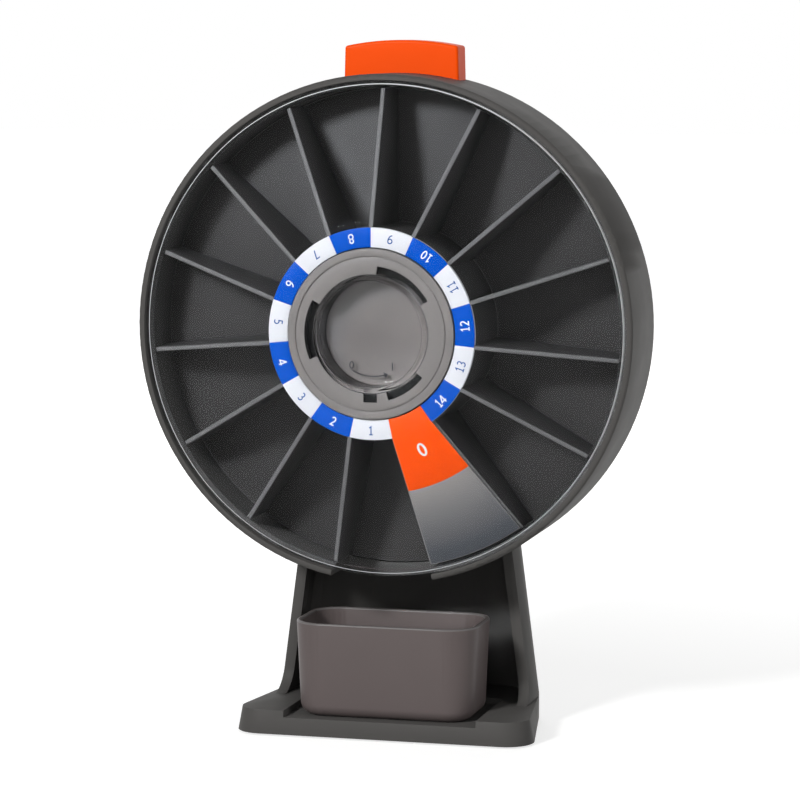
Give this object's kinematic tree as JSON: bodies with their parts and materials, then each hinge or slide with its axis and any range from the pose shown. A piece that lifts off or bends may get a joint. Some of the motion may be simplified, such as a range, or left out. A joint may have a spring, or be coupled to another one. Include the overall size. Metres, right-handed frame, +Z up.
{
  "type": "pill dispenser",
  "caption": "Round pill dispenser on a stand: a numbered wheel of compartments under a clear cover, stepped by a press button, drops doses into a tray.",
  "frame": {"origin": "on the table, under the middle of the whole width and depth", "axes": "+Z up; the front of the wheel faces -Y, and its axis lies along Y above the origin; +X is on the right, seen from the front"},
  "size_m": [0.16, 0.0744, 0.2204],
  "materials": {
    "charcoal_plastic": "fine satin moulding",
    "tray_plastic": "satin moulding",
    "foot_rubber": "matt",
    "screw_steel": "zinc plated",
    "spring_steel": "drawn wire",
    "hub_plastic": "satin moulding",
    "acetal": "natural, slightly waxy",
    "clear_plastic": "clear, polished",
    "start_plastic": "satin moulding",
    "orange_plastic": "satin moulding",
    "white_plastic": "printed, satin",
    "blue_plastic": "printed, satin"
  },
  "bodies": {
    "frame": {"stand": "charcoal_plastic", "rubber_feet": "foot_rubber", "drum_housing": "charcoal_plastic", "back_cover": "charcoal_plastic", "housing_screws": "screw_steel", "stand_screws": "screw_steel", "hub_post": "hub_plastic", "hub_screw": "screw_steel", "detent_spring": "acetal", "detent_screw": "screw_steel", "return_springs": "spring_steel", "thrust_washer": "acetal"},
    "wheel": {"wheel_hub": "charcoal_plastic", "wheel_dividers": "charcoal_plastic", "start_plate": "start_plastic", "start_flag": "orange_plastic", "number_ring": "white_plastic", "blue_tiles": "blue_plastic", "ratchet_ring": "acetal"},
    "cover": {"clear_cover": "clear_plastic"},
    "button": {"press_button": "orange_plastic", "button_slide": "acetal", "drive_pawl": "acetal", "button_screws": "screw_steel"},
    "tray": {"pill_tray": "tray_plastic"}
  },
  "joints": [
    {"name": "wheel_turn", "type": "hinge", "parent": "frame", "child": "wheel", "pos_m": [0, -0.0228, 0.13], "axis": [0, -1, 0], "continuous": true, "deforming": ["drive_pawl", "detent_spring"]},
    {"name": "button_press", "type": "slide", "parent": "frame", "child": "button", "axis": [0, 0, -1], "range_m": [0, 0.0092], "stiffness_N_per_m": 350, "springref_m": -0.006, "deforming": ["return_springs", "drive_pawl"]},
    {"name": "cover_turn", "type": "hinge", "parent": "frame", "child": "cover", "pos_m": [0, -0.0228, 0.13], "axis": [0, -1, 0], "range_deg": [0, 40]},
    {"name": "tray_slide", "type": "slide", "parent": "frame", "child": "tray", "axis": [0, -1, 0], "range_m": [0, 0.045]}
  ]
}
